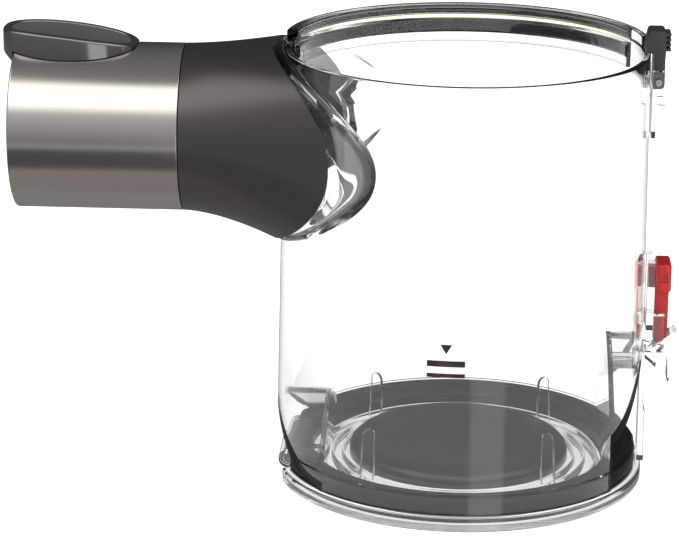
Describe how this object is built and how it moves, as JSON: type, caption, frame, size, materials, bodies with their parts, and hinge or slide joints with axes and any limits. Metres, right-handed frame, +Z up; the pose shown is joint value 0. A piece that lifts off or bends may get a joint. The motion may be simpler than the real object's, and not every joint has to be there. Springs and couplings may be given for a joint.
{
  "type": "stick vacuum dust bin",
  "caption": "Clear cylindrical dust bin with a side inlet tube, hinged sealed base, slide release and bin latch.",
  "frame": {"origin": "centre of the underside of the hinged base, on the bin's axis", "axes": "+Z up the bin's axis, -X along the inlet tube away from the bin, +X towards the release slider"},
  "size_m": [0.2034, 0.112, 0.1386],
  "materials": {
    "clear_plastic": "clear polycarbonate",
    "nickel_paint": "satin metallic paint on plastic",
    "graphite_paint": "satin metallic paint on plastic",
    "dark_gloss": "gloss",
    "satin_grey": "satin",
    "dark_plastic": "fine grain",
    "black_rubber": "smooth matt",
    "red_plastic": "semi-gloss",
    "steel": "turned",
    "brass": "plated"
  },
  "bodies": {
    "bin": {"bin_wall": "clear_plastic", "hinge_pin": "steel", "port_collar": "clear_plastic", "inlet_neck": "graphite_paint", "inlet_sleeve": "nickel_paint", "inlet_duct": "dark_plastic", "duct_seal": "black_rubber", "port_frame": "dark_plastic", "latch_hood": "dark_gloss", "hood_plate": "satin_grey", "front_contact_block": "dark_plastic", "front_contact_1": "brass", "front_contact_2": "brass", "conductor_1": "brass", "conductor_2": "brass", "rear_contact_block": "dark_plastic", "rear_contact_1": "brass", "rear_contact_2": "brass", "slider_guide": "clear_plastic", "latch_guide": "clear_plastic", "latch_pin": "steel"},
    "base_flap": {"base_plate": "clear_plastic", "base_seal": "black_rubber", "dome_pad": "black_rubber"},
    "base_catch": {"base_catch": "clear_plastic"},
    "release_slider": {"release_slider": "red_plastic"},
    "body_latch": {"body_latch": "dark_plastic"}
  },
  "joints": [
    {"name": "base_hinge", "type": "hinge", "parent": "bin", "child": "base_flap", "pos_m": [-0.0515, 0, 0.0065], "axis": [0, 1, 0], "range_deg": [0, 92]},
    {"name": "catch_flex", "type": "hinge", "parent": "base_flap", "child": "base_catch", "pos_m": [0.05535, 0, 0.0047], "axis": [0, 1, 0], "range_deg": [0, 4.5], "stiffness_Nm_per_rad": 0.4},
    {"name": "release_slide", "type": "slide", "parent": "bin", "child": "release_slider", "axis": [0, 0, -1], "range_m": [0, 0.0024]},
    {"name": "latch_pivot", "type": "hinge", "parent": "bin", "child": "body_latch", "pos_m": [0.0566, 0, 0.1237], "axis": [0, 1, 0], "range_deg": [0, 8], "stiffness_Nm_per_rad": 0.2}
  ],
  "couplings": [
    {"joint": "catch_flex", "follows": "release_slide", "rad_per_m": 30}
  ]
}
